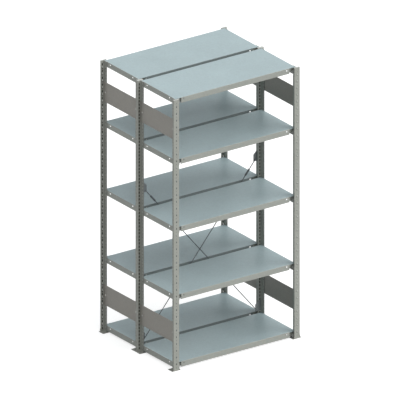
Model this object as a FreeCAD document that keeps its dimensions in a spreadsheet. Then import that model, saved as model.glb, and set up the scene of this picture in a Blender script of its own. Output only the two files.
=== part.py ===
import FreeCAD, Part
import os
import Sketcher

# Double sided library shelving: one bay of clip-in steel shelving, two racks back to back.
#
# Frame: origin on the floor at the middle of the footprint, +X along the aisle to the right,
# +Y from the front aisle to the rear aisle, +Z up. Lengths are millimetres.
#
# Four T-posts stand at each end: one at each aisle and two back to back in the middle. Every post,
# foot and cap is drawn in its own frame, with its aisle face on Y = 0 and its stem towards +Y.

SHELF_LEVELS = 5                # shelves in each rack
STEPS_BETWEEN_SHELVES = 20      # slot pitches from one shelf to the next
STEPS_TO_TOP_SHELF = 18         # the uppermost gap is shorter
UPPER_BRACKET_STEPS = 48        # slot pitches from the first slot to the slot of a bracket
LOWER_BRACKET_STEPS = 4
SLOT_STRIDE = 4                 # one slot in so many is cut, which keeps the posts light to draw
AISLE_SLOT_STRIDE = 8
CUT_FACTOR = 2                  # a cut runs this many times the thickness that it goes through
TOUCHING = 0.01                 # mm, within which two places are the same

SIZES = {
    # the row
    "bay_pitch": 1005.0,            # post axis to post axis
    "rack_depth": 438.0,            # aisle face to the middle of the row
    "lowest_shelf": 52.0,           # floor to the top of the lowest shelf
    "shelf_over_post": 2.0,         # top shelf above the post ends
    # T-post: a hollow flange and a stem of doubled sheet
    "flange_width": 45.0,
    "flange_depth": 10.0,
    "flange_bevel": 1.0,
    "post_depth": 48.0,
    "post_sheet": 1.2,
    "slot_pitch": 25.0,
    "slot_offset": 11.0,            # post axis to the row of clip slots
    "slot_width": 5.0,
    "slot_height": 12.0,
    "aisle_slot_rise": 25.0,        # first slot of the aisle row above the first clip slot
    "aisle_slot_width": 6.0,
    "aisle_slot_height": 12.0,
    # cap on a post
    "cap_thickness": 3.0,
    "cap_plug_depth": 8.0,
    # foot under a post
    "foot_margin": 11.5,            # plate beyond the flange on each side
    "foot_tail": 4.0,               # plate beyond the stem
    "foot_plate": 4.0,
    "foot_wall": 2.0,
    "foot_wall_height": 18.0,
    "foot_tongue_height": 10.0,
    "foot_fit": 0.2,
    "anchor_hole": 9.0,
    "anchor_reach": 18.0,           # post axis to the anchor hole
    "anchor_inset": 30.0,           # aisle face to the anchor hole
    # shelf: a tray of folded sheet
    "shelf_setback": 18.0,          # aisle face to the shelf's edge
    "shelf_back_gap": 17.0,         # shelf to the middle of the row
    "end_clearance": 0.3,           # shelf to the post stems
    "shelf_sheet": 1.0,
    "shelf_fold": 40.0,             # height of the folded edges
    "shelf_lip": 13.0,
    "shelf_return": 25.0,           # height of the long folds' third bend, behind the lip
    "return_stop": 77.0,            # shelf end to the return
    "fold_stop_long": 50.0,         # long folds stop short of the corners
    "fold_stop_end": 12.0,
    "corner_wall": 52.0,            # set back by the end folds' stop, it closes the corner
    "fold_hole": 9.0,
    "fold_hole_drop": 13.0,
    "fold_hole_long": 71.5,         # shelf end to the holes in the long folds
    "fold_hole_end": 68.0,          # shelf edge to the holes in the end folds
    # clip under a shelf corner
    "clip_sheet": 2.0,
    "clip_start": 4.0,              # post axis to the clip
    "clip_length": 38.0,
    "clip_rise": 28.0,
    "clip_ledge": 28.0,
    "tab_width": 4.4,
    "tab_height": 10.0,
    "tab_rise": 15.0,               # underside of the ledge to the middle of the slot
    "tab_reach": 6.0,
    # panel between two posts
    "panel_height": 150.0,
    "panel_sheet": 1.2,
    "panel_hem": 10.0,
    "panel_end_gap": 0.3,
    "lower_panel_middle": 275.0,
    "upper_panel_drop": 225.0,      # post ends down to the middle of the upper panel
    # bolts through panel and stem
    "bolt_edge": 10.0,              # stem edge to the bolt
    "bolt_neck": 6.6,
    "bolt_fit": 0.2,
    "bolt_head_across": 12.0,       # over the corners
    "bolt_head_height": 4.0,
    # diagonal brace in the middle of the row
    "bracket_sheet": 2.0,
    "bracket_reach": 50.0,          # post axis to the bracket's free edge
    "bracket_height": 74.0,
    "bracket_taper": 24.0,
    "bracket_hole": 7.0,
    "bracket_hole_reach": 42.0,     # post axis to the rod's hole
    "bracket_hole_rise": 13.0,
    "bracket_tab_over_hole": 45.0,
    "rod_diameter": 6.0,
    "rod_offset": 4.0,              # middle of the row to the rod's axis
    "rod_hook_overrun": 2.0,        # hook beyond the bracket
    "turnbuckle_distance": 73.0,    # hook to the turnbuckle
    "turnbuckle_length": 55.0,
    "turnbuckle_across": 14.0,      # over the corners
    "turnbuckle_grip": 18.0,        # rod inside the turnbuckle
    "turnbuckle_fit": 0.1,
}

doc = FreeCAD.newDocument("library_shelving")
sheet = doc.addObject("Spreadsheet::Sheet", "Sizes")
for row, (alias, value) in enumerate(SIZES.items(), start=1):
    sheet.set(f"A{row}", alias)
    sheet.set(f"B{row}", str(value))
    sheet.setAlias(f"B{row}", alias)
doc.recompute()


class Size:
    """A length: its present value, and the expression that ties it to the spreadsheet."""

    def __init__(self, value, text):
        self.value = value
        self.text = text

    def __add__(self, other):
        other = as_size(other)
        return Size(self.value + other.value, f"({self.text} + {other.text})")

    def __sub__(self, other):
        other = as_size(other)
        return Size(self.value - other.value, f"({self.text} - {other.text})")

    def __mul__(self, factor):
        factor = as_size(factor)
        return Size(self.value * factor.value, f"({self.text} * {factor.text})")

    def __truediv__(self, factor):
        factor = as_size(factor)
        return Size(self.value / factor.value, f"({self.text} / {factor.text})")

    def __neg__(self):
        return self * -1

    __rmul__ = __mul__


def as_size(number):
    return number if isinstance(number, Size) else Size(float(number), f"({float(number)})")


def size(alias):
    return Size(SIZES[alias], f"Sizes.{alias}")


NONE = as_size(0)

# the row
bay_pitch = size("bay_pitch")
rack_depth = size("rack_depth")
slot_pitch = size("slot_pitch")
lowest_shelf = size("lowest_shelf")
shelf_tops = [
    lowest_shelf + slot_pitch * STEPS_BETWEEN_SHELVES * level for level in range(SHELF_LEVELS - 1)
]
shelf_tops.append(shelf_tops[-1] + slot_pitch * STEPS_TO_TOP_SHELF)
post_top = shelf_tops[-1] - size("shelf_over_post")

# posts
flange_half = size("flange_width") / 2
flange_depth = size("flange_depth")
post_sheet = size("post_sheet")
post_depth = size("post_depth")
stem_half = post_sheet                          # two sheets, one on each side of the axis
post_length = post_top - size("foot_plate")
slot_offset = size("slot_offset")
slot_height = size("slot_height")

# shelves and clips
shelf_length = bay_pitch - stem_half * 2 - size("end_clearance") * 2
shelf_depth = rack_depth - size("shelf_setback") - size("shelf_back_gap")
shelf_sheet = size("shelf_sheet")
shelf_fold = size("shelf_fold")
clip_sheet = size("clip_sheet")
slot_over_ledge = size("tab_rise")              # the ledge carries the folds from below
first_slot = lowest_shelf - shelf_fold - clip_sheet + slot_over_ledge

# panels and their bolts
bolt_inset = post_depth - size("bolt_edge")     # aisle face to the bolt
bolt_hole = size("bolt_neck") + size("bolt_fit") * 2
panel_sheet = size("panel_sheet")
hem_thickness = panel_sheet * 2                 # the edge of a panel is folded flat on itself
panel_middles = {
    "lower": size("lower_panel_middle"),
    "upper": post_top - size("upper_panel_drop"),
}

# brace: both diagonals hook into brackets at the same reach from the posts
upper_hook = first_slot + slot_pitch * UPPER_BRACKET_STEPS - size("bracket_tab_over_hole")
lower_hook = first_slot + slot_pitch * LOWER_BRACKET_STEPS - size("bracket_tab_over_hole")
hook_half_span = bay_pitch / 2 - size("bracket_hole_reach")
brace_fall = upper_hook - lower_hook
brace_run = hook_half_span * 2
brace_length = Size(
    (brace_fall.value**2 + brace_run.value**2) ** 0.5,
    f"sqrt({brace_fall.text}^2 + {brace_run.text}^2)",
)
rod_radius = size("rod_diameter") / 2
rod_offset = size("rod_offset")
hook_length = flange_depth + size("bracket_sheet") + size("rod_hook_overrun") - rod_offset

# where the eight posts stand: name, side of the row in X, side in Y, at an aisle or in the middle
ENDS = (("left", -1), ("right", 1))
RACKS = (("front", -1), ("rear", 1))
STATIONS = [
    (f"{rack}_{end}_{spot}", end_sign, rack_sign, spot)
    for rack, rack_sign in RACKS
    for end, end_sign in ENDS
    for spot in ("aisle", "inner")
]
subparts = []


def bind(thing, name, length):
    thing.setExpression(name, length.text)


def keep(thing, label):
    """Names a finished sub-part and lists it for export."""
    thing.Label = label
    subparts.append(thing)
    return thing


def place(thing, across=NONE, along=NONE, up=NONE, turned=False):
    """Puts a sub-part where it belongs, turned half round about the vertical if asked."""
    turn = FreeCAD.Rotation(FreeCAD.Vector(0, 0, 1), 180 if turned else 0)
    thing.Placement = FreeCAD.Placement(FreeCAD.Vector(), turn)
    bind(thing, "Placement.Base.x", across)
    bind(thing, "Placement.Base.y", along)
    bind(thing, "Placement.Base.z", up)


def origin_plane(body, role):
    return next(item for item in body.Origin.OriginFeatures if item.Role == role)


def new_sketch(body, name, plane, shift=NONE):
    """An empty sketch on one of the body's own planes, moved along the plane's normal by shift."""
    sketch = body.newObject("Sketcher::SketchObject", name)
    sketch.AttachmentSupport = [(origin_plane(body, plane), "")]
    sketch.MapMode = "FlatFace"
    bind(sketch, "AttachmentOffset.Base.z", shift)
    return sketch


def draw_polyline(sketch, corners, closed=True):
    """Straight lines through corners, each held by its two distances from the sketch's origin."""
    first = sketch.GeometryCount
    points = [FreeCAD.Vector(x.value, y.value, 0) for x, y in corners]
    ends = points[1:] + points[:1] if closed else points[1:]
    lines = [Part.LineSegment(start, end) for start, end in zip(points, ends)]
    sketch.addGeometry(lines, False)
    joints = []
    for index in range(len(lines)):
        following = (index + 1) % len(lines)
        if closed or following:
            joints.append(Sketcher.Constraint("Coincident", first + index, 2, first + following, 1))
    sketch.addConstraint(joints)
    for index, (x, y) in enumerate(corners):
        line = first + min(index, len(lines) - 1)
        end = 1 if index < len(lines) else 2
        for kind, length in (("DistanceX", x), ("DistanceY", y)):
            number = sketch.addConstraint(Sketcher.Constraint(kind, line, end, length.value))
            sketch.setExpression(f"Constraints[{number}]", length.text)


def draw_rectangle(sketch, left, bottom, right, top):
    draw_polyline(sketch, [(left, bottom), (right, bottom), (right, top), (left, top)])


def draw_square(sketch, x, y, side):
    draw_rectangle(sketch, x - side / 2, y - side / 2, x + side / 2, y + side / 2)


def draw_circle(sketch, x, y, radius):
    centre = FreeCAD.Vector(x.value, y.value, 0)
    circle = sketch.addGeometry(Part.Circle(centre, FreeCAD.Vector(0, 0, 1), radius.value), False)
    for kind, length in (("DistanceX", x), ("DistanceY", y)):
        number = sketch.addConstraint(Sketcher.Constraint(kind, circle, 3, length.value))
        sketch.setExpression(f"Constraints[{number}]", length.text)
    number = sketch.addConstraint(Sketcher.Constraint("Radius", circle, radius.value))
    sketch.setExpression(f"Constraints[{number}]", radius.text)


def pad(body, name, sketch, length, both_ways=False, backwards=False):
    feature = body.newObject("PartDesign::Pad", name)
    feature.Profile = sketch
    feature.SideType = "Symmetric" if both_ways else "One side"
    feature.Reversed = backwards
    feature.Refine = True
    bind(feature, "Length", length)
    return feature


def pocket(body, name, sketch, length, both_ways=False, backwards=False):
    feature = body.newObject("PartDesign::Pocket", name)
    feature.Profile = sketch
    feature.SideType = "Symmetric" if both_ways else "One side"
    feature.Reversed = backwards
    bind(feature, "Length", length)
    return feature


def through(thickness):
    """How far a cut runs to leave the thickness clean."""
    return thickness * CUT_FACTOR


def mirror_feature(body, name, feature, plane):
    twin = body.newObject("PartDesign::Mirrored", name)
    twin.Originals = [feature]
    twin.MirrorPlane = (origin_plane(body, plane), [""])
    body.Tip = twin
    return twin


def repeat_upwards(body, name, feature, pitch, first, last):
    """A row of a feature up the body, from first to no higher than last, at a pitch."""
    row = body.newObject("PartDesign::LinearPattern", name)
    row.Originals = [feature]
    row.Direction = (origin_plane(body, "Z_Axis"), [""])
    row.Mode = "Spacing"
    bind(row, "Offset", pitch)
    row.setExpression("Occurrences", f"floor({(last - first).text} / {pitch.text}) + 1")
    body.Tip = row
    return row


def post_outline(margin=NONE):
    """The T of a post, its flange wider by margin at the sides and the back."""
    side = flange_half + margin
    back = flange_depth + margin
    return [
        (-side, NONE), (side, NONE), (side, back), (stem_half, back),
        (stem_half, post_depth), (-stem_half, post_depth), (-stem_half, back), (-side, back),
    ]


def flange_hollow(gap=NONE):
    """The room inside a flange, less a gap all round, as the sides of a rectangle."""
    side = flange_half - post_sheet - gap
    return -side, post_sheet + gap, side, flange_depth - post_sheet - gap


def make_post(label, bay_side, faces_aisle):
    """A T-post. bay_side is the side of its own X on which the shelves hang."""
    body = doc.addObject("PartDesign::Body", label)
    section = new_sketch(body, "section", "XY_Plane")
    draw_polyline(section, post_outline())
    draw_rectangle(section, *flange_hollow())
    profile = pad(body, "profile", section, post_length)
    doc.recompute()

    bevel = body.newObject("PartDesign::Chamfer", "flange_corners")
    bevel.Base = (profile, aisle_edges(profile.Shape))
    bind(bevel, "Size", size("flange_bevel"))

    # heights in the post's own frame, which starts on the foot plate
    floor_drop = size("foot_plate")
    first = first_slot - floor_drop
    uppermost = post_length - slot_height
    lowest = cut_clip_slot(body, "clip_slot", bay_side, first)
    repeat_upwards(body, "clip_slots", lowest, slot_pitch * SLOT_STRIDE, first, uppermost)
    # the top shelf's clip may fall between the slots that are cut
    cut_clip_slot(body, "top_clip_slot", bay_side, first + shelf_tops[-1] - lowest_shelf)

    if faces_aisle:
        first += size("aisle_slot_rise")
        half = size("aisle_slot_width") / 2
        rise = size("aisle_slot_height") / 2
        face_sketch = new_sketch(body, "aisle_slot_sketch", "XZ_Plane")
        draw_rectangle(face_sketch, -half, first - rise, half, first + rise)
        face_slot = pocket(body, "aisle_slot", face_sketch, through(post_sheet))
        pitch = slot_pitch * AISLE_SLOT_STRIDE
        repeat_upwards(body, "aisle_slots", face_slot, pitch, first, uppermost)

    holes = new_sketch(body, "bolt_hole_sketch", "YZ_Plane")
    for middle in panel_middles.values():
        draw_square(holes, bolt_inset, middle - floor_drop, bolt_hole)
    pocket(body, "bolt_holes", holes, through(stem_half * 2), both_ways=True)
    return body


def cut_clip_slot(body, name, bay_side, middle):
    """A slot through the flange's inner wall alone."""
    across = slot_offset * bay_side
    half_width = size("slot_width") / 2
    half_height = slot_height / 2
    slot_sketch = new_sketch(body, f"{name}_sketch", "XZ_Plane", -flange_depth)
    draw_rectangle(
        slot_sketch, across - half_width, middle - half_height, across + half_width, middle + half_height
    )
    return pocket(body, name, slot_sketch, through(post_sheet), backwards=True)


def aisle_edges(shape):
    """The two upright edges at the corners of the aisle face."""
    names = []
    for number, edge in enumerate(shape.Edges, start=1):
        box = edge.BoundBox
        upright = box.ZLength > post_length.value / 2
        at_side = abs(abs(box.Center.x) - flange_half.value) < TOUCHING
        at_corner = at_side and abs(box.Center.y) < TOUCHING
        if upright and at_corner:
            names.append(f"Edge{number}")
    return names


def make_cap(label):
    """A T-shaped cap that lies on a post and plugs into its hollow flange."""
    body = doc.addObject("PartDesign::Body", label)
    plate_sketch = new_sketch(body, "plate_sketch", "XY_Plane")
    draw_polyline(plate_sketch, post_outline(size("foot_fit")))
    pad(body, "plate", plate_sketch, size("cap_thickness"))
    plug_sketch = new_sketch(body, "plug_sketch", "XY_Plane")
    draw_rectangle(plug_sketch, *flange_hollow(size("foot_fit")))
    pad(body, "plug", plug_sketch, size("cap_plug_depth"), backwards=True)
    return body


def make_foot(label, bay_side):
    """A foot plate with a cheek at each end of the flange and a tongue that enters the hollow."""
    body = doc.addObject("PartDesign::Body", label)
    plate_half = flange_half + size("foot_margin")
    plate_sketch = new_sketch(body, "plate_sketch", "XY_Plane")
    draw_rectangle(plate_sketch, -plate_half, NONE, plate_half, post_depth + size("foot_tail"))
    pad(body, "plate", plate_sketch, size("foot_plate"))
    cheek_sketch = new_sketch(body, "cheek_sketch", "XY_Plane", size("foot_plate"))
    near = flange_half + size("foot_fit")
    far = near + size("foot_wall")
    draw_rectangle(cheek_sketch, near, NONE, far, flange_depth)
    draw_rectangle(cheek_sketch, -far, NONE, -near, flange_depth)
    pad(body, "cheeks", cheek_sketch, size("foot_wall_height"))
    tongue_sketch = new_sketch(body, "tongue_sketch", "XY_Plane", size("foot_plate"))
    draw_rectangle(tongue_sketch, *flange_hollow(size("foot_fit")))
    pad(body, "tongue", tongue_sketch, size("foot_tongue_height"))
    anchor = new_sketch(body, "anchor_sketch", "XY_Plane")
    draw_circle(anchor, size("anchor_reach") * -bay_side, size("anchor_inset"), size("anchor_hole") / 2)
    pocket(body, "anchor_hole", anchor, through(size("foot_plate") * 2), both_ways=True)
    return body


def fold_profile(edge, inward):
    """A folded edge in section: down from the top sheet at edge, then in along a lip."""
    lip_end = edge + size("shelf_lip") * inward
    inner = edge + shelf_sheet * inward
    lip_top = -(shelf_fold - shelf_sheet)
    return [
        (edge, NONE), (edge, -shelf_fold), (lip_end, -shelf_fold),
        (lip_end, lip_top), (inner, lip_top), (inner, NONE),
    ]


def make_shelf(label):
    """A folded tray with open corners, drawn about the middle of its top face."""
    body = doc.addObject("PartDesign::Body", label)
    half_length = shelf_length / 2
    half_depth = shelf_depth / 2
    top_sketch = new_sketch(body, "top_sketch", "XY_Plane")
    draw_rectangle(top_sketch, -half_length, -half_depth, half_length, half_depth)
    pad(body, "top", top_sketch, shelf_sheet, backwards=True)

    long_sketch = new_sketch(body, "long_fold_sketch", "YZ_Plane")
    draw_polyline(long_sketch, fold_profile(-half_depth, 1))
    long_run = shelf_length - size("fold_stop_long") * 2
    long_fold = pad(body, "long_fold", long_sketch, long_run, both_ways=True)
    mirror_feature(body, "long_fold_twin", long_fold, "XZ_Plane")

    return_sketch = new_sketch(body, "return_sketch", "YZ_Plane")
    return_face = -half_depth + size("shelf_lip")
    return_top = -shelf_fold + size("shelf_return")
    draw_rectangle(return_sketch, return_face - shelf_sheet, -shelf_fold, return_face, return_top)
    return_run = shelf_length - size("return_stop") * 2
    upturn = pad(body, "return", return_sketch, return_run, both_ways=True)
    mirror_feature(body, "return_twin", upturn, "XZ_Plane")

    end_sketch = new_sketch(body, "end_fold_sketch", "XZ_Plane")
    draw_polyline(end_sketch, fold_profile(-half_length, 1))
    end_run = shelf_depth - size("fold_stop_end") * 2
    end_fold = pad(body, "end_fold", end_sketch, end_run, both_ways=True)
    mirror_feature(body, "end_fold_twin", end_fold, "YZ_Plane")

    wall_face = half_depth - size("fold_stop_end")
    wall_end = half_length - size("corner_wall")
    wall_sketch = new_sketch(body, "corner_wall_sketch", "XZ_Plane", wall_face)
    draw_rectangle(wall_sketch, -half_length, -shelf_fold, -wall_end, NONE)
    draw_rectangle(wall_sketch, wall_end, -shelf_fold, half_length, NONE)
    walls = pad(body, "corner_walls", wall_sketch, shelf_sheet, backwards=True)
    mirror_feature(body, "corner_walls_twin", walls, "XZ_Plane")

    hole = size("fold_hole")
    long_holes = new_sketch(body, "long_hole_sketch", "XZ_Plane")
    end_holes = new_sketch(body, "end_hole_sketch", "YZ_Plane")
    for side in (-1, 1):
        hole_x = (half_length - size("fold_hole_long")) * side
        hole_y = (half_depth - size("fold_hole_end")) * side
        draw_square(long_holes, hole_x, -size("fold_hole_drop"), hole)
        draw_square(end_holes, hole_y, -size("fold_hole_drop"), hole)
    pocket(body, "long_holes", long_holes, through(shelf_depth), both_ways=True)
    pocket(body, "end_holes", end_holes, through(shelf_length), both_ways=True)
    return body


def slot_tab(body, name, slot_middle, side):
    """A tab through a clip slot, resting on the slot's lower edge; the slot is at height zero."""
    half = size("tab_width") / 2
    tab_sketch = new_sketch(body, f"{name}_sketch", "XZ_Plane", -flange_depth)
    middle = slot_offset * side
    bottom = slot_middle - slot_height / 2
    draw_rectangle(tab_sketch, middle - half, bottom, middle + half, bottom + size("tab_height"))
    return pad(body, name, tab_sketch, size("tab_reach"))


def make_clip(label):
    """One clip for the left post at the front: an angle whose ledge is level with height zero."""
    body = doc.addObject("PartDesign::Body", label)
    back = flange_depth
    front = back + clip_sheet
    angle_sketch = new_sketch(body, "angle_sketch", "YZ_Plane", size("clip_start"))
    draw_polyline(angle_sketch, [
        (back, -clip_sheet), (back + size("clip_ledge"), -clip_sheet), (back + size("clip_ledge"), NONE),
        (front, NONE), (front, size("clip_rise") - clip_sheet), (back, size("clip_rise") - clip_sheet),
    ])
    pad(body, "angle", angle_sketch, size("clip_length"))
    slot_tab(body, "tab", slot_over_ledge - clip_sheet, 1)
    return body


def mirrored(label, source, normal):
    twin = doc.addObject("Part::Mirroring", label)
    twin.Source = source
    twin.Normal = normal
    return twin


def grouped(label, members):
    group = doc.addObject("Part::Compound", label)
    group.Links = members
    return group


ACROSS = FreeCAD.Vector(1, 0, 0)
ALONG = FreeCAD.Vector(0, 1, 0)


def make_clips():
    """Eight clips for each shelf level: one at each corner of both racks."""
    clip = make_clip("clip")
    place(clip, -bay_pitch / 2, -rack_depth / 2)
    pair = grouped("clip_pair", [clip, mirrored("clip_right", clip, ACROSS)])
    four = grouped("clips_of_a_rack", [pair, mirrored("clips_inner", pair, ALONG)])
    place(four, along=-rack_depth / 2)
    others = mirrored("clips_of_rear_rack", four, ALONG)
    for level, top in enumerate(shelf_tops, start=1):
        clips = keep(grouped(f"level_{level}_clips", [four, others]), f"clips_level_{level}")
        place(clips, up=top - shelf_fold)


def make_panel(label):
    """A flat panel with hemmed edges, its bay side on X = 0, drawn about its own middle."""
    body = doc.addObject("PartDesign::Body", label)
    top = size("panel_height") / 2
    hem = top - size("panel_hem")
    section = new_sketch(body, "section", "XZ_Plane")
    draw_polyline(section, [
        (NONE, -top), (NONE, top), (-hem_thickness, top), (-hem_thickness, hem),
        (-panel_sheet, hem), (-panel_sheet, -hem), (-hem_thickness, -hem), (-hem_thickness, -top),
    ])
    run = rack_depth - (flange_depth + size("panel_end_gap")) * 2
    pad(body, "sheet", section, run, both_ways=True)
    holes = new_sketch(body, "bolt_hole_sketch", "YZ_Plane")
    for side in (-1, 1):
        draw_square(holes, (rack_depth / 2 - bolt_inset) * side, NONE, bolt_hole)
    pocket(body, "bolt_holes", holes, through(panel_sheet * 2), both_ways=True)
    return body


def make_bolts():
    """The panel bolts of each end: a hexagon head outside, a square neck through panel and stem."""
    head = doc.addObject("Part::Prism", "bolt_head")
    head.Polygon = 6
    bind(head, "Circumradius", size("bolt_head_across") / 2)
    bind(head, "Height", size("bolt_head_height"))
    neck = doc.addObject("Part::Box", "bolt_square_neck")
    grip = panel_sheet + stem_half * 2
    for side in ("Length", "Width"):
        bind(neck, side, size("bolt_neck"))
    bind(neck, "Height", grip)
    bind(neck, "Placement.Base.x", -size("bolt_neck") / 2)
    bind(neck, "Placement.Base.y", -size("bolt_neck") / 2)
    bind(neck, "Placement.Base.z", -grip)
    bolt = doc.addObject("Part::MultiFuse", "bolt")
    bolt.Shapes = [head, neck]
    # the head's axis turns from +Z to -X, and the head's seat lies on the panel's outer face
    bolt.Placement = FreeCAD.Placement(FreeCAD.Vector(), FreeCAD.Rotation(ALONG, -90))
    bind(bolt, "Placement.Base.x", -bay_pitch / 2 - stem_half - panel_sheet)
    bind(bolt, "Placement.Base.y", -(rack_depth / 2 - bolt_inset))
    pair = grouped("bolt_pair", [bolt, mirrored("bolt_twin", bolt, ALONG)])
    rows = []
    for name, middle in panel_middles.items():
        row = grouped(f"bolts_{name}", [pair])
        place(row, along=-rack_depth / 2, up=middle)
        rows += [row, mirrored(f"bolts_{name}_rear", row, ALONG)]
    left = keep(grouped("left_bolts", rows), "panel_bolts_left")
    keep(mirrored("right_bolts", left, ACROSS), "panel_bolts_right")


def make_bracket(label, side):
    """A plate behind a flange with a square hole for the rod, its tab in a clip slot.

    It is drawn in the post's own frame, with the rod's hole at height zero; side is the bay side.
    """
    body = doc.addObject("PartDesign::Body", label)
    bottom = -size("bracket_hole_rise")
    top = bottom + size("bracket_height")
    start = size("clip_start") * side
    shoulder = (size("bracket_reach") - size("bracket_taper")) * side
    free_edge = size("bracket_reach") * side
    plate_sketch = new_sketch(body, "plate_sketch", "XZ_Plane", -flange_depth)
    draw_polyline(plate_sketch, [
        (start, bottom), (free_edge, bottom), (free_edge, top - size("bracket_taper")),
        (shoulder, top), (start, top),
    ])
    draw_square(plate_sketch, size("bracket_hole_reach") * side, NONE, size("bracket_hole"))
    pad(body, "plate", plate_sketch, size("bracket_sheet"), backwards=True)
    slot_tab(body, "tab", size("bracket_tab_over_hole"), side)
    return body


def make_rod(label, length):
    """A round rod up its own Z from zero, bent square at the far end into a hook towards -Y."""
    body = doc.addObject("PartDesign::Body", label)
    ring = new_sketch(body, "ring", "XY_Plane")
    draw_circle(ring, NONE, NONE, rod_radius)
    line = new_sketch(body, "line", "YZ_Plane")
    draw_polyline(line, [(NONE, NONE), (NONE, length), (-hook_length, length)], closed=False)
    rod = body.newObject("PartDesign::AdditivePipe", "rod")
    rod.Profile = ring
    rod.Spine = line
    rod.Transition = "Right corner"
    return body


def make_turnbuckle(label):
    """A hexagon sleeve up its own Z, bored for the two rods."""
    sleeve = doc.addObject("Part::Prism", f"{label}_sleeve")
    sleeve.Polygon = 6
    bind(sleeve, "Circumradius", size("turnbuckle_across") / 2)
    bind(sleeve, "Height", size("turnbuckle_length"))
    bore = doc.addObject("Part::Cylinder", f"{label}_bore")
    bind(bore, "Radius", rod_radius + size("turnbuckle_fit"))
    bind(bore, "Height", size("turnbuckle_length"))
    body = doc.addObject("Part::Cut", label)
    body.Base = sleeve
    body.Tool = bore
    return body


def along_brace(thing, distance, upwards, half_turn):
    """Lays a piece along the brace, distance below the upper hook; the other diagonal is turned."""
    share = distance / brace_length
    side = -1 if half_turn else 1
    x = (brace_run * share - hook_half_span) * side
    y = -rod_offset * side
    z = upper_hook - brace_fall * share
    # the angle about Y that turns +Z to the brace's direction
    direction = -1 if upwards else 1
    pitch = f"atan2({(brace_run * direction).text}; {(brace_fall * -direction).text})"
    yaw = 180 if half_turn else 0
    point = f"vector({x.text}; {y.text}; {z.text})"
    thing.setExpression("Placement", f"placement({point}; rotation({yaw}; {pitch}; 0))")


def make_brace():
    """Two rods crossed between the racks, each in two lengths joined by a turnbuckle."""
    start = size("turnbuckle_distance")
    grip = size("turnbuckle_grip")
    long_start = start + size("turnbuckle_length") - grip
    for letter, half_turn in (("a", False), ("b", True)):
        short_rod = keep(make_rod(f"short_{letter}", start + grip), f"brace_hook_rod_{letter}")
        along_brace(short_rod, start + grip, True, half_turn)
        sleeve = keep(make_turnbuckle(f"turnbuckle_{letter}"), f"brace_turnbuckle_{letter}")
        along_brace(sleeve, start, False, half_turn)
        long_rod = keep(make_rod(f"long_{letter}", brace_length - long_start), f"brace_long_rod_{letter}")
        along_brace(long_rod, long_start, False, half_turn)
    # each diagonal hangs on one rack's inner posts: upper left and lower right on the front rack
    for label, end_sign, rack_sign, hook in (
        ("upper_left", -1, -1, upper_hook), ("lower_right", 1, -1, lower_hook),
        ("upper_right", 1, 1, upper_hook), ("lower_left", -1, 1, lower_hook),
    ):
        turned = rack_sign < 0
        bay_side = end_sign if turned else -end_sign
        bracket = keep(make_bracket(f"bracket_{label}", bay_side), f"brace_bracket_{label}")
        place(bracket, bay_pitch / 2 * end_sign, NONE, hook, turned)


def make_frames():
    """Posts with their feet and caps at the eight stations."""
    for name, end_sign, rack_sign, spot in STATIONS:
        at_aisle = spot == "aisle"
        turned = (rack_sign > 0) == at_aisle
        bay_side = end_sign if turned else -end_sign
        across = bay_pitch / 2 * end_sign
        along = rack_depth * rack_sign if at_aisle else NONE
        post = keep(make_post(f"post_{name}", bay_side, at_aisle), f"post_{name}")
        place(post, across, along, size("foot_plate"), turned)
        place(keep(make_foot(f"foot_{name}", bay_side), f"foot_{name}"), across, along, NONE, turned)
        place(keep(make_cap(f"cap_{name}"), f"cap_{name}"), across, along, post_top, turned)


def make_panels():
    """Two panels in each end of each rack, outside the stems."""
    for rack, rack_sign in RACKS:
        for end, end_sign in ENDS:
            for name, middle in panel_middles.items():
                label = f"panel_{rack}_{end}_{name}"
                panel = keep(make_panel(label), label)
                face = (bay_pitch / 2 + stem_half) * end_sign
                place(panel, face, rack_depth / 2 * rack_sign, middle, end_sign > 0)


def make_shelves():
    setback = size("shelf_setback")
    for rack, rack_sign in RACKS:
        for level, top in enumerate(shelf_tops, start=1):
            shelf = keep(make_shelf(f"{rack}_shelf_{level}"), f"shelf_{rack}_{level}")
            place(shelf, NONE, (rack_depth - setback - shelf_depth / 2) * rack_sign, top)


def report_failures():
    """Stops before anything is written if an object failed or a sub-part has no sound solid."""
    failed = [item.Label for item in doc.Objects if {"Invalid", "Error"} & set(item.State)]
    if failed:
        raise SystemExit("failed objects: " + ", ".join(failed))
    for item in subparts:
        if item.Shape.isNull() or not item.Shape.isValid() or not item.Shape.Solids:
            raise SystemExit("no sound solid in " + item.Label)


make_frames()
make_panels()
make_bolts()
make_shelves()
make_clips()
make_brace()
doc.recompute()
report_failures()
os.makedirs("parts", exist_ok=True)
for item in subparts:
    item.Shape.exportStep(f"parts/{item.Label}.step")
print(f"{len(subparts)} sub-parts, {sum(len(item.Shape.Solids) for item in subparts)} solids")
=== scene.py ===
import math

import bmesh
import bpy
from mathutils import Matrix, Vector


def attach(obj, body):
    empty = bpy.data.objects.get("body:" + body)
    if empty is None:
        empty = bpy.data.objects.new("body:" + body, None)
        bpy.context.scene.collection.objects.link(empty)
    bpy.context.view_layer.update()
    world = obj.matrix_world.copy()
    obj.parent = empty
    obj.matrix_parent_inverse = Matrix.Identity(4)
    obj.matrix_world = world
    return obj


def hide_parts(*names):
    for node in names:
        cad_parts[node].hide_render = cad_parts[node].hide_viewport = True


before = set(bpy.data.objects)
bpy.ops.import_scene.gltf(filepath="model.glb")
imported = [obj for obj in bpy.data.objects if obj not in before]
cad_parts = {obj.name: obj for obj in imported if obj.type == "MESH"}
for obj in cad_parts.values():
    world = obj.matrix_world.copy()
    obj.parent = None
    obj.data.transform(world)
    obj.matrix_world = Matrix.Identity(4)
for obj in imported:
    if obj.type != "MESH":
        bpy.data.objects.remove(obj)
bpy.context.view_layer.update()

# Double sided library shelving, in metres. Posts, shelves and panels are drawn as flat blanks with
# their holes, bent along their fold lines and given their thickness, as the real ones are made.

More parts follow.
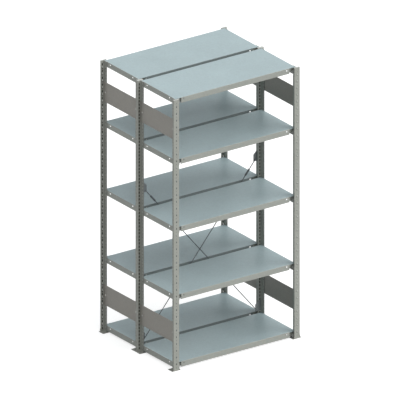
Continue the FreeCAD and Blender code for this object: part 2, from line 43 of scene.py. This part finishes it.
BAY_HALF = 0.5025           # middle of the row to a post's axis
RACK_DEPTH = 0.438          # middle of the row to the aisle face
POST_BOTTOM = 0.004
POST_TOP = 2.0
PITCH = 0.025               # of the slots in a post
SHELF_TOPS = (0.052, 0.552, 1.052, 1.552, 2.002)
SHELF_HALF_LENGTH = 0.501
SHELF_NEAR = 0.017          # middle of the row to a shelf's near edge
SHELF_FAR = 0.420           # and to its far edge
RACKS = (("front", -1), ("rear", 1))
ENDS = (("left", -1), ("right", 1))


# ---------------------------------------------------------------- sheet metal

SAME_BREAK = 1e-5           # two breaks of a blank nearer than this count as one
SAME_POINT = 2e-6           # and two points
HOLE_POINTS = 3             # on each rounded corner of a hole
SHARP_ANGLE = math.radians(35)


class Section:
    """The outline of a bent sheet: straight runs with an arc at each corner."""

    def __init__(self, corners, radius, steps=3):
        corners = [Vector(corner) for corner in corners]
        self.points = [corners[0]]
        for before, corner, after in zip(corners, corners[1:], corners[2:]):
            back = (before - corner).normalized()
            on = (after - corner).normalized()
            half = back.angle(on) / 2
            centre = corner + (back + on).normalized() * (radius / math.sin(half))
            reach = radius / math.tan(half)
            first = corner + back * reach - centre
            last = corner + on * reach - centre
            sweep = first.angle(last)
            for step in range(steps + 1):
                share = step / steps
                self.points.append(
                    centre
                    + first * (math.sin((1 - share) * sweep) / math.sin(sweep))
                    + last * (math.sin(share * sweep) / math.sin(sweep))
                )
        self.points.append(corners[-1])
        self.stations = [0.0]
        for start, end in zip(self.points, self.points[1:]):
            self.stations.append(self.stations[-1] + (end - start).length)

    def at(self, distance):
        """The point at this distance along the section."""
        for index in range(len(self.stations) - 1):
            low, high = self.stations[index], self.stations[index + 1]
            if distance <= high or index == len(self.stations) - 2:
                share = (distance - low) / (high - low)
                return self.points[index].lerp(self.points[index + 1], share)

    def distance_to(self, x, y):
        """How far along the section its point nearest to x, y is."""
        target = Vector((x, y))
        found = []
        for start, end, station in zip(self.points, self.points[1:], self.stations):
            run = end - start
            share = max(0.0, min(1.0, (target - start).dot(run) / run.length_squared))
            gap = (start + run * share - target).length
            found.append((gap, station + run.length * share))
        return min(found)[1]


class Hole:
    """A slot or hole with rounded corners, in the flat of a blank."""

    def __init__(self, u, v, width, height, corner):
        self.u, self.v = u, v
        self.half_u, self.half_v = width / 2, height / 2
        self.corner = corner

    def rings(self):
        """The hole's outline as four runs of points, one at each corner."""
        for quarter, (side_u, side_v) in enumerate(((1, 1), (-1, 1), (-1, -1), (1, -1))):
            run = []
            for step in range(HOLE_POINTS):
                angle = math.pi / 2 * (quarter + step / (HOLE_POINTS - 1))
                run.append((
                    self.u + side_u * (self.half_u - self.corner) + self.corner * math.cos(angle),
                    self.v + side_v * (self.half_v - self.corner) + self.corner * math.sin(angle),
                ))
            yield run


def around(middle, width, margin):
    """The two breaks that frame a hole of this width."""
    return [middle - width / 2 - margin, middle + width / 2 + margin]


def tidy_breaks(values):
    """The values in order, each once."""
    kept = []
    for value in sorted(values):
        if not kept or value - kept[-1] > SAME_BREAK:
            kept.append(value)
    return kept


def lay_blank(bm, us, vs, to_space, holes=(), material=0):
    """A sheet over a grid of breaks, with a frame of faces round each hole."""
    us, vs = tidy_breaks(us), tidy_breaks(vs)
    grid = [[bm.verts.new(to_space(u, v)) for v in vs] for u in us]
    holed = {}
    for hole in holes:
        column = max(i for i, u in enumerate(us[:-1]) if u < hole.u)
        row = max(j for j, v in enumerate(vs[:-1]) if v < hole.v)
        holed[column, row] = hole
    for i in range(len(us) - 1):
        for j in range(len(vs) - 1):
            corners = [grid[i + 1][j + 1], grid[i][j + 1], grid[i][j], grid[i + 1][j]]
            if (i, j) not in holed:
                bm.faces.new(corners).material_index = material
                continue
            rings = [[bm.verts.new(to_space(*p)) for p in run] for run in holed[i, j].rings()]
            for quarter in range(4):
                ring, following = rings[quarter], rings[(quarter + 1) % 4]
                faces = [(corners[quarter], corners[(quarter + 1) % 4], following[0], ring[-1])]
                for first, second in zip(ring, ring[1:]):
                    faces.append((corners[quarter], second, first))
                for face in faces:
                    bm.faces.new(face).material_index = material


def finished_mesh(name, bm, thickness, offset=-1.0, back_shift=0):
    """The blank given its thickness, its flats kept flat and its bends smooth.

    Its back and edges take the material that is back_shift places after the front's.
    """
    bmesh.ops.remove_doubles(bm, verts=bm.verts, dist=SAME_POINT)
    data = bpy.data.meshes.new(name)
    bm.to_mesh(data)
    bm.free()
    # the modifier can only point to materials that the draft has places for
    for _ in range(back_shift + 1):
        data.materials.append(None)
    draft = bpy.data.objects.new(name + "_draft", data)
    bpy.context.scene.collection.objects.link(draft)
    solid = draft.modifiers.new("thickness", "SOLIDIFY")
    solid.thickness = thickness
    solid.offset = offset
    solid.use_even_offset = True
    solid.material_offset = back_shift
    solid.material_offset_rim = back_shift
    graph = bpy.context.evaluated_depsgraph_get()
    made = bpy.data.meshes.new_from_object(draft.evaluated_get(graph))
    bpy.data.objects.remove(draft)
    made.name = name
    made.shade_smooth()
    made.set_sharp_from_angle(angle=SHARP_ANGLE)
    return made


def place_at(spot, turned=False):
    """A place in the row, with or without a half turn about the vertical."""
    where = Matrix.Translation(spot)
    return where @ Matrix.Rotation(math.pi, 4, "Z") if turned else where


def put(name, mesh, materials, body, nodes, where):
    """Sets a piece in its place and ties it to its body and the nodes that it stands for."""
    piece = bpy.data.objects.new(name, mesh)
    bpy.context.scene.collection.objects.link(piece)
    piece.matrix_world = where
    for index, material in enumerate(materials):
        if index < len(mesh.materials):
            mesh.materials[index] = material
        else:
            mesh.materials.append(material)
    weighted = piece.modifiers.new("flats", "WEIGHTED_NORMAL")
    weighted.keep_sharp = True
    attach(piece, body)
    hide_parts(*nodes)


# ---------------------------------------------------------------- materials

NARROW = (0.3, 0.7)         # the span of a noise that is brought to another range
WIDE = (0.25, 0.75)
MARKS_PER_METRE = 400       # in drawn steel, across the bar


class Nodes:
    """A material's node tree, with short ways to add and join nodes."""

    def __init__(self, name):
        self.material = bpy.data.materials.new(name)
        self.material.use_nodes = True
        self.tree = self.material.node_tree
        self.shader = self.tree.nodes["Principled BSDF"]

    def add(self, kind, **inputs):
        node = self.tree.nodes.new(kind)
        for key, value in inputs.items():
            self.put(node, key, value)
        return node

    def put(self, node, key, value):
        """Sets a socket, or joins it to another socket."""
        socket = node.inputs[key]
        if isinstance(value, bpy.types.NodeSocket):
            self.tree.links.new(value, socket)
        else:
            socket.default_value = value

    def math(self, operation, a, b):
        node = self.tree.nodes.new("ShaderNodeMath")
        node.operation = operation
        self.put(node, 0, a)
        self.put(node, 1, b)
        return node.outputs[0]

    def ranged(self, value, low, high, from_low=0.0, from_high=1.0):
        """The value brought from its own range to low and high."""
        node = self.tree.nodes.new("ShaderNodeMapRange")
        for index, item in enumerate((value, from_low, from_high, low, high)):
            self.put(node, index, item)
        return node.outputs[0]

    def mixed(self, share, a, b):
        """A colour between two others."""
        node = self.tree.nodes.new("ShaderNodeMix")
        node.data_type = "RGBA"
        factor, first, second, result = 0, 6, 7, 2      # the sockets for colours
        self.put(node, factor, share)
        self.put(node, first, a)
        self.put(node, second, b)
        return node.outputs[result]

    def noise(self, where, scale, detail=3.0, roughness=0.55):
        node = self.add("ShaderNodeTexNoise", Scale=scale, Detail=detail, Roughness=roughness)
        self.tree.links.new(where, node.inputs["Vector"])
        return node.outputs["Fac"]

    def place(self):
        """Points on the piece, shifted so that pieces of one mesh don't repeat each other."""
        coordinates = self.add("ShaderNodeTexCoord").outputs["Object"]
        spot = self.add("ShaderNodeObjectInfo").outputs["Location"]
        shift = self.tree.nodes.new("ShaderNodeVectorMath")
        shift.operation = "ADD"
        self.put(shift, 0, coordinates)
        self.put(shift, 1, spot)
        return shift.outputs[0]

    def bump(self, height, strength, distance, under=None):
        node = self.add("ShaderNodeBump", Strength=strength, Distance=distance, Height=height)
        if under is not None:
            self.put(node, "Normal", under)
        return node.outputs["Normal"]


def srgb(red, green, blue):
    """A colour given in levels of 0 to 255, as the shaders take it."""
    def linear(level):
        level /= 255
        return level / 12.92 if level <= 0.04045 else ((level + 0.055) / 1.055) ** 2.4
    return (linear(red), linear(green), linear(blue), 1.0)


def shaded(colour, factor):
    """The colour made darker or lighter."""
    return tuple(min(1.0, channel * factor) for channel in colour[:3]) + (1.0,)


def zinc_steel(name, colour, metallic=0.12, rough=(0.36, 0.52), wave=0.0006, clouds=0.10):
    """Zinc-coated sheet: soft clouds and fine crystals in its colour, and a slight wave."""
    n = Nodes(name)
    where = n.place()
    drift = n.noise(where, scale=3.2, detail=4.0)
    smears = n.noise(where, scale=14.0, detail=5.0, roughness=0.65)
    grain = n.noise(where, scale=420.0, detail=2.0, roughness=0.6)
    cells = n.add("ShaderNodeTexVoronoi", Scale=95.0, Randomness=1.0, Vector=where)
    crystals = n.tree.nodes.new("ShaderNodeSeparateColor")
    n.put(crystals, 0, cells.outputs["Color"])
    by_colour, by_roughness, by_height = crystals.outputs

    tone = n.math("ADD", n.ranged(drift, -clouds, clouds, *NARROW), 0.5)
    tone = n.math("ADD", tone, n.ranged(smears, -0.12, 0.12, *WIDE))
    tone = n.math("ADD", tone, n.ranged(by_colour, -0.15, 0.15))
    n.put(n.shader, "Base Color", n.mixed(tone, shaded(colour, 0.87), shaded(colour, 1.11)))
    n.put(n.shader, "Metallic", metallic)
    n.put(n.shader, "IOR", 1.5)
    smeared = n.ranged(smears, *rough, *WIDE)
    n.put(n.shader, "Roughness", n.math("ADD", smeared, n.ranged(by_roughness, -0.04, 0.04)))
    sheet_wave = n.bump(n.noise(where, scale=6.0, detail=1.0), 0.35, wave)
    crystal_edges = n.bump(by_height, 0.12, 0.0001, sheet_wave)
    n.put(n.shader, "Normal", n.bump(grain, 0.12, 0.00012, crystal_edges))
    return n.material


def drawn_steel(name, colour, stretch):
    """Drawn bar and small fasteners: fine marks, stretched along Z to lines, and duller patches."""
    n = Nodes(name)
    where = n.place()
    across = MARKS_PER_METRE
    scaled = n.add("ShaderNodeMapping", Scale=(across, across, across / stretch), Vector=where)
    lines = n.noise(scaled.outputs[0], scale=1.0)
    patches = n.noise(where, scale=45.0, detail=4.0)
    tone = n.math("ADD", n.ranged(patches, 0.1, 0.9, *NARROW), n.ranged(lines, -0.15, 0.15))
    n.put(n.shader, "Base Color", n.mixed(tone, shaded(colour, 0.8), shaded(colour, 1.12)))
    n.put(n.shader, "Metallic", 0.75)
    n.put(n.shader, "Roughness", n.ranged(patches, 0.28, 0.46, *NARROW))
    n.put(n.shader, "Normal", n.bump(lines, 0.15, 0.0001))
    return n.material


def moulded_plastic(name, colour):
    """Plastic with fine specks and slightly duller patches."""
    n = Nodes(name)
    where = n.place()
    specks = n.noise(where, scale=900.0, detail=2.0)
    patches = n.noise(where, scale=60.0)
    n.put(n.shader, "Base Color", n.mixed(patches, shaded(colour, 0.93), shaded(colour, 1.05)))
    n.put(n.shader, "Roughness", n.ranged(patches, 0.42, 0.58, *NARROW))
    n.put(n.shader, "Normal", n.bump(specks, 0.25, 0.0001))
    return n.material


DULL = (0.5, 0.65)          # roughness of the shelves' inner folds and returns
DULLER = (0.6, 0.75)        # roughness inside the posts
POST_STEEL = zinc_steel("post_steel_zinc", srgb(171, 173, 166))
# inside the posts and on the sheet's cut edges: near-black zinc, a painted shade of the hollows so
# that the slots read dark
POST_INSIDE = zinc_steel("post_inside_painted_shade", srgb(52, 52, 50), rough=DULLER)
# the tops are bluer than the folds of the same sheet: a painted reflection of the sky
SHELF_TOP = zinc_steel("shelf_top_zinc", srgb(173, 190, 194), wave=0.0012, clouds=0.17)
SHELF_FOLD = zinc_steel("shelf_fold_zinc", srgb(169, 172, 166))
# the folds that face the middle of the row: darker zinc, a painted shade of the slit between the
# trays
SHELF_BACK = zinc_steel("shelf_back_painted_shade", srgb(122, 131, 132), rough=DULL)
# the returns: darker zinc, a painted shade behind the lips so that the holes in the folds read dark
SHELF_RETURN = zinc_steel("shelf_return_painted_shade", srgb(96, 101, 100), rough=DULL)
PANEL_STEEL = zinc_steel("panel_steel_zinc", srgb(163, 159, 152), wave=0.001)
CLIP_STEEL = zinc_steel("clip_steel_zinc", srgb(140, 142, 140), metallic=0.2)
BRACKET_STEEL = zinc_steel("bracket_steel_zinc", srgb(120, 124, 126), metallic=0.2)
FOOT_STEEL = zinc_steel("foot_steel_zinc", srgb(162, 162, 156), metallic=0.15)
BRACE_STEEL = drawn_steel("brace_steel_drawn", srgb(102, 106, 108), stretch=14)
BOLT_STEEL = drawn_steel("bolt_steel_plated", srgb(190, 190, 186), stretch=1)
CAP_PLASTIC = moulded_plastic("cap_plastic_moulded", srgb(200, 202, 198))


# ---------------------------------------------------------------- posts

POST_HALF = 0.0225          # half the flange's width
POST_FLANGE = 0.010         # depth of the hollow flange
POST_DEPTH = 0.048
POST_SHEET = 0.0012
POST_BEND = 0.0016
POST_FIT = 0.00003          # keeps the two layers of the stem apart
SLOT_OFFSET = 0.011         # post's axis to the clip slots
STEM_HOLES = POST_DEPTH - 0.010         # a post's face to the holes and bolts in its stem
STEM_HOLE = (0.007, 0.007, 0.0009)      # width, height, corner
CLIP_SLOT = (0.0086, 0.0170, 0.0022)
AISLE_SLOT = (0.0068, 0.0125, 0.0024)
AISLE_HOLE = (0.0045, 0.0045, 0.0020)
POST_MARGIN = 0.0012        # between a hole and the breaks beside it


def post_mesh(name, faces_aisle):
    """A T-post rolled from one strip, slotted at every pitch."""
    section = Section([
        (POST_SHEET, POST_DEPTH), (POST_SHEET, POST_FLANGE), (POST_HALF, POST_FLANGE),
        (POST_HALF, 0), (-POST_HALF, 0), (-POST_HALF, POST_FLANGE),
        (-POST_SHEET, POST_FLANGE), (-POST_SHEET, POST_DEPTH),
    ], POST_BEND)
    rows = [PITCH * step for step in range(1, round(POST_TOP / PITCH))]
    columns = []        # middle, shape and heights of each column of holes
    for side in (1, -1):
        columns.append((section.distance_to(POST_SHEET * side, STEM_HOLES), STEM_HOLE, rows))
        columns.append((section.distance_to(SLOT_OFFSET * side, POST_FLANGE), CLIP_SLOT, rows))
    if faces_aisle:
        columns.append((section.distance_to(0, 0), AISLE_SLOT, rows[1::2]))
    us = list(section.stations)
    for middle, (width, _, _), _ in columns:
        us += around(middle, width, POST_MARGIN)
    if faces_aisle:
        # small holes between the slots, inside the same pair of breaks
        columns.append((section.distance_to(0, 0), AISLE_HOLE, rows[::2]))
    holes = [Hole(middle, z, *shape) for middle, shape, heights in columns for z in heights]
    vs = [POST_BOTTOM, POST_TOP] + [z - PITCH / 2 for z in rows] + [rows[-1] + PITCH / 2]

    def to_space(u, v):
        x, y = section.at(u)
        return (x, y, v)

    bm = bmesh.new()
    lay_blank(bm, us, vs, to_space, holes)
    bmesh.ops.reverse_faces(bm, faces=bm.faces)
    # the inside and the cut edges take the next material, the painted shade
    return finished_mesh(name, bm, POST_SHEET - POST_FIT, back_shift=1)


post_meshes = {
    "aisle": post_mesh("post_aisle_mesh", True),
    "inner": post_mesh("post_inner_mesh", False),
}
for rack, rack_side in RACKS:
    for end, end_side in ENDS:
        for spot in ("aisle", "inner"):
            at_aisle = spot == "aisle"
            name = f"post_{rack}_{end}_{spot}"
            put(
                f"{name}_rolled", post_meshes[spot], [POST_STEEL, POST_INSIDE], "root",
                [name],
                place_at(
                    (BAY_HALF * end_side, RACK_DEPTH * rack_side * at_aisle, 0),
                    turned=(rack_side > 0) == at_aisle,
                ),
            )


# ---------------------------------------------------------------- shelves

SHELF_HALF_DEPTH = (SHELF_FAR - SHELF_NEAR) / 2
SHELF_SHEET = 0.001
SHELF_BEND = 0.002
BEND_STEPS = 4
FOLD_DEPTH = 0.040
FLAT_START = 0.01           # where a fold's section starts in the flat, more than a bend inward
LIP = 0.013
STOP_X = SHELF_HALF_LENGTH - 0.050      # where the long folds end
STOP_Y = SHELF_HALF_DEPTH - 0.012       # where the end folds end
FOLD_HOLE = 0.009
FOLD_HOLE_CORNER = 0.001
FOLD_HOLE_DROP = 0.013                  # top to the middle of a hole
HOLE_X = SHELF_HALF_LENGTH - 0.0715     # holes in the long folds
HOLE_Y = SHELF_HALF_DEPTH - 0.068       # holes in the end folds
SHEET_MARGIN = 0.002                    # between a hole and the breaks beside it
RETURN_HEIGHT = 0.025
RETURN_RUN = SHELF_HALF_LENGTH - 0.077  # half the length of a return
CORNER_WALL = 0.060                     # length of the wall that closes a corner
CORNER_DEPTH = 0.035                    # top to the lower edge of that wall
TOP, FOLD, BACK, RETURN = range(4)      # places in a shelf's list of materials
SHELF_STEELS = [SHELF_TOP, SHELF_FOLD, SHELF_BACK, SHELF_RETURN]


def lay_folds(bm):
    """The four folded edges with their lips and square holes."""
    fold = Section(
        [(-FLAT_START, 0), (0, 0), (0, -FOLD_DEPTH), (-LIP, -FOLD_DEPTH)], SHELF_BEND, BEND_STEPS
    )
    start = fold.distance_to(-SHELF_BEND, 0)
    hole_at = fold.distance_to(0, -FOLD_HOLE_DROP)
    us = [station for station in fold.stations if station > start - SAME_POINT]
    us += around(hole_at, FOLD_HOLE, SHEET_MARGIN)
    # reach to the fold, half its run, middle of its holes, way out, way along, material
    for reach, run, hole, out, along, material in (
        # the fold that faces the middle of the row takes the painted shade
        (SHELF_HALF_DEPTH, STOP_X, HOLE_X, (0, 1), (1, 0), BACK),
        (SHELF_HALF_DEPTH, STOP_X, HOLE_X, (0, -1), (-1, 0), FOLD),
        (SHELF_HALF_LENGTH, STOP_Y, HOLE_Y, (-1, 0), (0, 1), FOLD),
        (SHELF_HALF_LENGTH, STOP_Y, HOLE_Y, (1, 0), (0, -1), FOLD),
    ):
        def to_space(u, v):
            step, z = fold.at(u)
            return (
                out[0] * (reach + step) + along[0] * v,
                out[1] * (reach + step) + along[1] * v,
                z,
            )

        vs = [-run, run]
        for side in (-1, 1):
            vs += around(side * hole, FOLD_HOLE, SHEET_MARGIN)
        holes = [
            Hole(hole_at, side * hole, FOLD_HOLE, FOLD_HOLE, FOLD_HOLE_CORNER) for side in (-1, 1)
        ]
        lay_blank(bm, us, vs, to_space, holes, material)


def lay_top(bm):
    """The top from fold to fold, with tongues of flat sheet at the four corners."""
    def flat(u, v):
        return (u, v, 0.0)

    inner_x = SHELF_HALF_LENGTH - SHELF_BEND
    inner_y = SHELF_HALF_DEPTH - SHELF_BEND
    xs = [-inner_x, -STOP_X, STOP_X, inner_x]
    ys = [-inner_y, -STOP_Y, STOP_Y, inner_y]
    for side in (-1, 1):
        xs += around(side * HOLE_X, FOLD_HOLE, SHEET_MARGIN)
        ys += around(side * HOLE_Y, FOLD_HOLE, SHEET_MARGIN)
    lay_blank(bm, xs, ys, flat, material=TOP)
    for x in (-1, 1):
        for y in (-1, 1):
            across, beyond = (x * STOP_X, x * inner_x), (x * inner_x, x * SHELF_HALF_LENGTH)
            edge = (y * inner_y, y * SHELF_HALF_DEPTH)
            for us, vs in ((across, edge), (beyond, (y * STOP_Y, y * inner_y)), (beyond, edge)):
                lay_blank(bm, us, vs, flat, material=TOP)


def lay_returns(bm):
    """Behind the lips: the upturned returns, and the walls that close the corners."""
    bend = Section(
        [(0, 0), (0, -RETURN_HEIGHT), (LIP / 2, -RETURN_HEIGHT)], SHELF_BEND, BEND_STEPS
    )
    wall_ends = (SHELF_HALF_LENGTH - CORNER_WALL, SHELF_HALF_LENGTH - SHELF_BEND / 2)
    for y in (-1, 1):
        def upturned(u, v):
            step, z = bend.at(u)
            return (v, y * (SHELF_HALF_DEPTH - LIP + step), z - FOLD_DEPTH + RETURN_HEIGHT)

        # the returns take the painted shade
        lay_blank(bm, bend.stations, (-RETURN_RUN, RETURN_RUN), upturned, material=RETURN)
        for x in (-1, 1):
            def corner(u, v):
                return (x * u, y * STOP_Y, v)

            lay_blank(bm, wall_ends, (-CORNER_DEPTH, -SHELF_SHEET / 2), corner, material=FOLD)


def shelf_mesh(name):
    """A folded tray about the middle of its top face, its +Y side to the middle of the row."""
    bm = bmesh.new()
    lay_folds(bm)
    lay_top(bm)
    lay_returns(bm)
    bmesh.ops.remove_doubles(bm, verts=bm.verts, dist=SAME_POINT)
    bmesh.ops.recalc_face_normals(bm, faces=bm.faces)
    largest = max(bm.faces, key=lambda face: face.calc_area())
    if largest.normal.z < 0:
        bmesh.ops.reverse_faces(bm, faces=bm.faces)
    return finished_mesh(name, bm, SHELF_SHEET)


tray = shelf_mesh("shelf_mesh")
for rack, rack_side in RACKS:
    for level, top in enumerate(SHELF_TOPS, start=1):
        put(
            f"shelf_{rack}_{level}_folded", tray, SHELF_STEELS, f"{rack}_shelf_{level}",
            [f"shelf_{rack}_{level}"],
            place_at((0, rack_side * (SHELF_NEAR + SHELF_FAR) / 2, top), turned=rack_side > 0),
        )


# ---------------------------------------------------------------- end panels

PANEL_HALF = 0.075
PANEL_SHEET = 0.0012
PANEL_HEM = 0.010
PANEL_GAP = 0.0003          # a panel's end to a post's flange
PANEL_RUN = RACK_DEPTH - 2 * (POST_FLANGE + PANEL_GAP)
PANEL_MIDDLES = {"lower": 0.275, "upper": 1.775}
HEM_FIT = 0.98              # share of the sheet's thickness, which keeps a hem's layers apart
BOLT_HOLE = 0.007
BOLT_HOLE_CORNER = 0.0008


def panel_mesh(name):
    """A panel with its long edges hemmed outward, its bay side on X = 0."""
    mid = PANEL_SHEET / 2
    outer = mid + PANEL_SHEET           # bay side to the middle of a hem's outer layer
    hem = PANEL_HALF - PANEL_HEM
    edge = PANEL_HALF - mid
    section = Section([
        (-outer, -hem), (-outer, -edge), (-mid, -edge), (-mid, edge), (-outer, edge), (-outer, hem),
    ], mid * HEM_FIT, BEND_STEPS)
    middle = section.distance_to(-mid, 0)
    us = section.stations + around(middle, BOLT_HOLE, SHEET_MARGIN)
    vs = [-PANEL_RUN / 2, PANEL_RUN / 2]
    holes = []
    for side in (-1, 1):
        bolt = side * (RACK_DEPTH / 2 - STEM_HOLES)
        vs += around(bolt, BOLT_HOLE, SHEET_MARGIN)
        holes.append(Hole(middle, bolt, BOLT_HOLE, BOLT_HOLE, BOLT_HOLE_CORNER))

    def to_space(u, v):
        x, z = section.at(u)
        return (x, v, z)

    bm = bmesh.new()
    lay_blank(bm, us, vs, to_space, holes)
    return finished_mesh(name, bm, PANEL_SHEET * HEM_FIT, offset=0.0)


hemmed = panel_mesh("panel_mesh")
for rack, rack_side in RACKS:
    for end, end_side in ENDS:
        for height, middle in PANEL_MIDDLES.items():
            face = (BAY_HALF + POST_SHEET) * end_side
            name = f"panel_{rack}_{end}_{height}"
            put(
                f"{name}_hemmed", hemmed, [PANEL_STEEL], "root", [name],
                place_at((face, RACK_DEPTH / 2 * rack_side, middle), turned=end_side > 0),
            )


# ---------------------------------------------------------------- clips

CLIP_NEAR, CLIP_FAR = 0.004, 0.031      # post's axis to the clip's ends
CLIP_LEAN = 0.08                        # how much the far end leans out as it rises
CLIP_PROFILE = (                        # distance from the post's face, height over the ledge
    (0.0108, -0.002), (0.038, -0.002), (0.038, 0.0), (0.0132, 0.0),
    (0.0120, 0.0012), (0.0120, 0.026), (0.0100, 0.026), (0.0100, -0.0012),
)
TAB_NEAR, TAB_FAR = 0.0088, 0.0132      # post's axis to the tab's sides
TAB_PROFILE = ((0.0045, 0.007), (0.0105, 0.007), (0.0105, 0.017), (0.0045, 0.017))


def add_prism(bm, near, far, to_space):
    """A solid between two outlines that match."""
    near = [bm.verts.new(to_space(*spot)) for spot in near]
    far = [bm.verts.new(to_space(*spot)) for spot in far]
    for i in range(len(near)):
        bm.faces.new((near[i - 1], near[i], far[i], far[i - 1]))
    bm.faces.new(near)
    bm.faces.new(far)


def clip_mesh():
    """The eight clips of a level: angles whose ledges are at height zero, each with its tab."""
    bm = bmesh.new()
    for end_side in (-1, 1):
        for rack_side in (-1, 1):
            for at_aisle in (False, True):
                def to_space(x, y, z):
                    inward = RACK_DEPTH - y if at_aisle else y
                    return (end_side * (BAY_HALF - x), rack_side * inward, z)

                for profile, near, far, lean in (
                    (CLIP_PROFILE, CLIP_NEAR, CLIP_FAR, CLIP_LEAN),
                    (TAB_PROFILE, TAB_NEAR, TAB_FAR, 0.0),
                ):
                    add_prism(
                        bm, [(near, y, z) for y, z in profile],
                        [(far + lean * z, y, z) for y, z in profile], to_space
                    )
    bmesh.ops.recalc_face_normals(bm, faces=bm.faces)
    mesh = bpy.data.meshes.new("clips")
    bm.to_mesh(mesh)
    bm.free()
    return mesh


clips = clip_mesh()
for level, top in enumerate(SHELF_TOPS, start=1):
    put(
        f"clips_{level}_pressed", clips, [CLIP_STEEL], "root",
        [f"clips_level_{level}"], place_at((0, 0, top - FOLD_DEPTH)),
    )


# ---------------------------------------------------------------- nodes kept from the frame

BEVEL_ANGLE = math.radians(40)
# start of a node's name: its material and the rounding of its edges; the first that fits counts
KEPT = {
    "cap_": (CAP_PLASTIC, 0.0008),
    "foot_": (FOOT_STEEL, 0.0005),
    "panel_bolts_": (BOLT_STEEL, 0.0004),
    "brace_bracket_": (BRACKET_STEEL, 0.0004),
    "brace_": (BRACE_STEEL, 0.0),
}
for node_name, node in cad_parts.items():
    for prefix, (material, rounding) in KEPT.items():
        if node_name.startswith(prefix):
            for material_slot in node.material_slots:
                material_slot.material = material
            if rounding:
                edges = node.modifiers.new("edges", "BEVEL")
                edges.width = rounding
                edges.segments = 2
                edges.limit_method = "ANGLE"
                edges.angle_limit = BEVEL_ANGLE
            break


# ---------------------------------------------------------------- floor, light and camera

FLOOR_REACH = 30.0
FLOOR_GREY = (0.22, 0.215, 0.205, 1)    # in the light that it throws on the object
FLOOR_PALE = (0.5, 0.5, 0.5, 1)         # to the camera, with a glow that makes it white
FLOOR_GLOW = 0.74
ROOM_COLOUR = (0.93, 0.98, 1.0, 1)
ROOM_STRENGTH = 0.32
DAYLIGHT = (1.0, 1.0, 0.98)
SKYLIGHT = (0.95, 0.99, 1.0)
SUN_SPREAD = math.radians(50)
SUNS = (                                # name, way to the light, strength, colour
    ("key_light", (0.55, -0.60, 0.60), 1.6, DAYLIGHT),
    ("front_light", (-0.08, -0.60, 0.50), 0.7, DAYLIGHT),
    ("top_light", (0.0, 0.05, 1.0), 0.8, SKYLIGHT),
)
ELEVATION = math.radians(22.565)
AZIMUTH = math.radians(-35.03)
AIM = (0, 0, 0.9944)
VIEW_WIDTH = 2.7297
CAMERA_DISTANCE = 8.0


def white_to_the_camera(tree, other, white, output):
    """Shows white to camera, glossy and transmission rays, and the other shader to the rest."""
    def larger(a, b):
        node = tree.nodes.new("ShaderNodeMath")
        node.operation = "MAXIMUM"
        tree.links.new(a, node.inputs[0])
        tree.links.new(b, node.inputs[1])
        return node.outputs[0]

    ray = tree.nodes.new("ShaderNodeLightPath").outputs
    seen = larger(larger(ray["Is Camera Ray"], ray["Is Glossy Ray"]), ray["Is Transmission Ray"])
    mix = tree.nodes.new("ShaderNodeMixShader")
    tree.links.new(seen, mix.inputs[0])
    tree.links.new(other, mix.inputs[1])
    tree.links.new(white, mix.inputs[2])
    tree.links.new(mix.outputs[0], output.inputs["Surface"])


def make_floor():
    """A wide floor that looks white but lights the object as a grey one does."""
    mesh = bpy.data.meshes.new("floor")
    corners = ((-1, -1), (1, -1), (1, 1), (-1, 1))
    mesh.from_pydata(
        [(x * FLOOR_REACH, y * FLOOR_REACH, 0) for x, y in corners], [], [(0, 1, 2, 3)]
    )
    floor = bpy.data.objects.new("floor", mesh)
    bpy.context.scene.collection.objects.link(floor)
    material = bpy.data.materials.new("pale_floor")
    material.use_nodes = True
    tree = material.node_tree
    tree.nodes.clear()
    output = tree.nodes.new("ShaderNodeOutputMaterial")
    grey = tree.nodes.new("ShaderNodeBsdfDiffuse")
    grey.inputs["Color"].default_value = FLOOR_GREY
    pale = tree.nodes.new("ShaderNodeBsdfDiffuse")
    pale.inputs["Color"].default_value = FLOOR_PALE
    glow = tree.nodes.new("ShaderNodeEmission")
    glow.inputs["Strength"].default_value = FLOOR_GLOW
    both = tree.nodes.new("ShaderNodeAddShader")
    tree.links.new(pale.outputs[0], both.inputs[0])
    tree.links.new(glow.outputs[0], both.inputs[1])
    white_to_the_camera(tree, grey.outputs[0], both.outputs[0], output)
    mesh.materials.append(material)


def make_world():
    """A white background, and a soft light from all round."""
    world = bpy.data.worlds.new("soft_room")
    bpy.context.scene.world = world
    world.use_nodes = True
    tree = world.node_tree
    tree.nodes.clear()
    output = tree.nodes.new("ShaderNodeOutputWorld")
    room = tree.nodes.new("ShaderNodeBackground")
    room.inputs["Color"].default_value = ROOM_COLOUR
    room.inputs["Strength"].default_value = ROOM_STRENGTH
    white = tree.nodes.new("ShaderNodeBackground")
    white.inputs["Strength"].default_value = 1.0
    white_to_the_camera(tree, room.outputs[0], white.outputs[0], output)


def make_sun(name, towards, strength, colour):
    lamp = bpy.data.lights.new(name, "SUN")
    lamp.energy = strength
    lamp.angle = SUN_SPREAD
    lamp.color = colour
    sun = bpy.data.objects.new(name, lamp)
    sun.rotation_mode = "QUATERNION"
    sun.rotation_quaternion = Vector(towards).to_track_quat("Z", "Y")
    bpy.context.scene.collection.objects.link(sun)


def make_camera():
    """A parallel view from the front left, looking down."""
    data = bpy.data.cameras.new("camera")
    data.type = "ORTHO"
    data.ortho_scale = VIEW_WIDTH
    data.clip_start, data.clip_end = 0.1, 40.0
    back = Vector((
        math.sin(AZIMUTH) * math.cos(ELEVATION),
        -math.cos(AZIMUTH) * math.cos(ELEVATION),
        math.sin(ELEVATION),
    ))
    camera = bpy.data.objects.new("camera", data)
    camera.rotation_mode = "QUATERNION"
    camera.rotation_quaternion = (-back).to_track_quat("-Z", "Y")
    camera.location = Vector(AIM) + back * CAMERA_DISTANCE
    bpy.context.scene.collection.objects.link(camera)
    bpy.context.scene.camera = camera


make_floor()
make_world()
for sun_light in SUNS:
    make_sun(*sun_light)
make_camera()
bpy.context.scene.view_settings.view_transform = "Standard"
